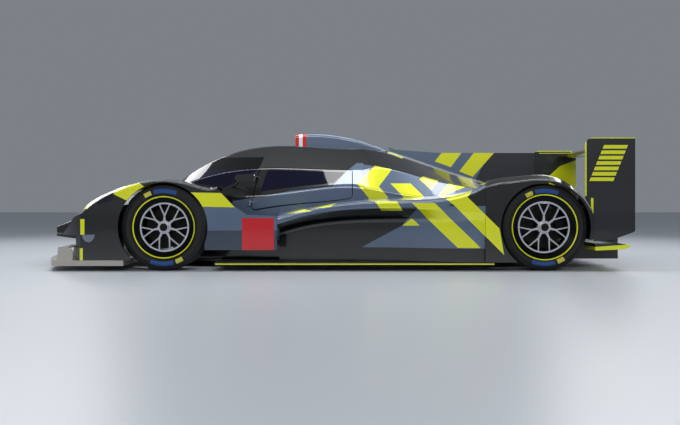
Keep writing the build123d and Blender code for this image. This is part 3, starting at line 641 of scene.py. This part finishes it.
def finish_piece(mesh: bmesh.types.BMesh, name: str, material: bpy.types.Material, body: str) -> bpy.types.Object:
    """Turns a bmesh into an object that rides on a body.

    Args:
        mesh: The shape, in place.
        name: The piece's name.
        material: Its finish.
        body: The body it moves with.

    Returns:
        The new object.
    """
    bmesh.ops.recalc_face_normals(mesh, faces=mesh.faces)
    data = bpy.data.meshes.new(name)
    mesh.to_mesh(data)
    mesh.free()
    piece = add_object(name, data)
    data.materials.append(material)
    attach(piece, body)
    LOG.info("built %s", name)
    return piece


@dataclass
class NumberPlates:
    """Blank red plates on the panels behind the front wheels."""

    corners: tuple[tuple[float, float], tuple[float, float]] = ((242.0, 218.0), (274.0, 250.0))
    thickness: float = 0.0015
    panel_y: float = 0.95
    proud: float = 0.0001
    rounding: float = 0.008

    def build(self) -> None:
        """Makes both plates."""
        red = Lacquer("plate_red_film", RED, 0.0, 0.3).build()
        left, top = from_photo(*self.corners[0], self.panel_y)
        right, bottom = from_photo(*self.corners[1], self.panel_y)
        size = (right - left, self.thickness, top - bottom)
        mesh = bmesh.new()
        for side in Side:
            middle_y = side.value * (self.panel_y - self.thickness / 2 + self.proud)
            middle = Vector(((left + right) / 2, middle_y, (top + bottom) / 2))
            add_rounded_plate(mesh, size, middle, self.rounding)
        finish_piece(mesh, "number_plates", red, "root")


@dataclass
class WheelNuts:
    """The six-sided centre nuts on the hubs, each with a shallow domed cap."""

    seat_y: float = 0.9165
    height: float = 0.006
    radius: float = 0.029
    cap_radius: float = 0.017
    cap_height: float = 0.0015
    taper: float = 0.94
    edge: float = 0.0008

    def build(self) -> None:
        """Makes the four nuts, one piece for each wheel."""
        steel = Metal("nut_anodised", "2A2624", 0.28, 0.9, 2.0).build()
        for end, axle_x in (("front", FRONT_AXLE_X), ("rear", REAR_AXLE_X)):
            for side in Side:
                mesh = bmesh.new()
                turned = Matrix.Rotation(math.radians(-90.0 * side.value), 4, "X")
                middle = Vector((axle_x, side.value * (self.seat_y + self.height / 2), AXLE_Z))
                made = bmesh.ops.create_cone(mesh, cap_ends=True, segments=6, radius1=self.radius,
                                             radius2=self.radius * self.taper, depth=self.height,
                                             matrix=Matrix.Translation(middle) @ turned)
                edges = list({edge for vertex in made["verts"] for edge in vertex.link_edges})
                bmesh.ops.bevel(mesh, geom=edges, offset=self.edge, affect="EDGES", segments=2, profile=0.5,
                                material=-1)
                top = Vector((axle_x, side.value * (self.seat_y + self.height), AXLE_Z))
                flat = Matrix.Diagonal((self.cap_radius, self.cap_height, self.cap_radius, 1.0))
                bmesh.ops.create_uvsphere(mesh, u_segments=24, v_segments=12, radius=1.0,
                                          matrix=Matrix.Translation(top) @ flat)
                wheel = f"{end}_{side.name.lower()}"
                finish_piece(mesh, f"wheel_nut_{wheel}", steel, f"wheel_{wheel}")


@dataclass
class MirrorGlasses:
    """Silvered glasses on the rear faces of the mirror housings."""

    face_x: float = -0.6
    inner_y: float = 0.628
    outer_y: float = 0.772
    bottom_z: float = 0.694
    top_z: float = 0.740
    thickness: float = 0.002
    rounding: float = 0.012
    # How far its middle stands off the housing's face, as a share of its thickness
    offset_share: float = 0.2

    def build(self) -> None:
        """Makes both glasses."""
        glass = Metal("mirror_silver", "C4CAD2", 0.1, 1.0, 30.0).build()
        size = (self.thickness, self.outer_y - self.inner_y, self.top_z - self.bottom_z)
        middle_x = self.face_x + self.thickness * self.offset_share
        middle_z = (self.bottom_z + self.top_z) / 2
        mesh = bmesh.new()
        for side in Side:
            middle = Vector((middle_x, side.value * (self.inner_y + self.outer_y) / 2, middle_z))
            add_rounded_plate(mesh, size, middle, self.rounding)
        finish_piece(mesh, "mirror_glasses", glass, "root")


@dataclass
class Studio:
    """The floor, the lights, the air and the camera."""

    floor_size: float = 60.0
    # Place, size, power and how strongly each light shows in reflections
    lights: tuple[tuple[tuple[float, float, float], tuple[float, float], float, float], ...] = (
        ((0.0, -0.7, 5.0), (9.0, 1.1), 300.0, 0.55),
        ((-4.5, 3.0, 3.5), (5.0, 2.0), 130.0, 0.25),
        ((4.5, 3.0, 3.5), (5.0, 2.0), 130.0, 0.4),
        ((0.0, -9.0, 4.2), (10.0, 1.2), 330.0, 0.1),
    )
    aim: tuple[float, float, float] = (0.0, 0.0, 0.4)
    air_strength: float = 0.42

    def build(self) -> None:
        """Makes the whole studio."""
        self.add_floor()
        self.add_lights()
        self.add_air()
        self.add_camera()

    def add_floor(self) -> None:
        """Makes the painted floor."""
        mesh = bmesh.new()
        bmesh.ops.create_grid(mesh, x_segments=1, y_segments=1, size=self.floor_size / 2)
        data = bpy.data.meshes.new("studio_floor")
        mesh.to_mesh(data)
        mesh.free()
        floor = add_object("studio_floor", data)
        material = new_material("studio_floor_paint")
        shader = material.node_tree.nodes[SHADER]
        shader.inputs["Base Color"].default_value = hex_linear("B4B9C0")
        shader.inputs["Roughness"].default_value = 0.35
        data.materials.append(material)

    def add_lights(self) -> None:
        """Makes the soft boxes, which all face the car."""
        for number, (place, size, power, shine) in enumerate(self.lights):
            light = bpy.data.lights.new(f"softbox_{number}", "AREA")
            light.shape = "RECTANGLE"
            light.size, light.size_y = size
            light.energy = power
            light.specular_factor = shine
            lamp = add_object(f"softbox_{number}", light)
            lamp.location = place
            lamp.rotation_euler = (Vector(self.aim) - Vector(place)).to_track_quat("-Z", "Y").to_euler()

    def add_air(self) -> None:
        """Makes the even light from all round."""
        world = bpy.data.worlds.new("studio_air")
        world.use_nodes = True
        background = world.node_tree.nodes["Background"]
        background.inputs["Color"].default_value = hex_linear("B9C0C9")
        background.inputs["Strength"].default_value = self.air_strength
        bpy.context.scene.world = world

    def add_camera(self) -> None:
        """Makes the photograph's camera, and sets how its light turns to colour."""
        data = bpy.data.cameras.new("camera")
        data.lens = FOCAL_PIXELS / PHOTO_WIDTH * SENSOR_MM
        data.sensor_width = SENSOR_MM
        data.shift_y = (HORIZON_Y - PHOTO_MIDDLE_Y) / PHOTO_WIDTH
        camera = add_object("camera", data)
        camera.location = (CAMERA_X, CAMERA_Y, CAMERA_Z)
        camera.rotation_euler = (math.radians(90), 0.0, 0.0)
        bpy.context.scene.camera = camera
        bpy.context.scene.view_settings.view_transform = "Standard"


def main() -> None:
    """Builds the studio, dresses the frame and adds the pieces."""
    logging.basicConfig(level=logging.INFO)
    Studio().build()
    Finishes().dress()
    NumberPlates().build()
    MirrorGlasses().build()
    WheelNuts().build()


if __name__ == "__main__":
    main()
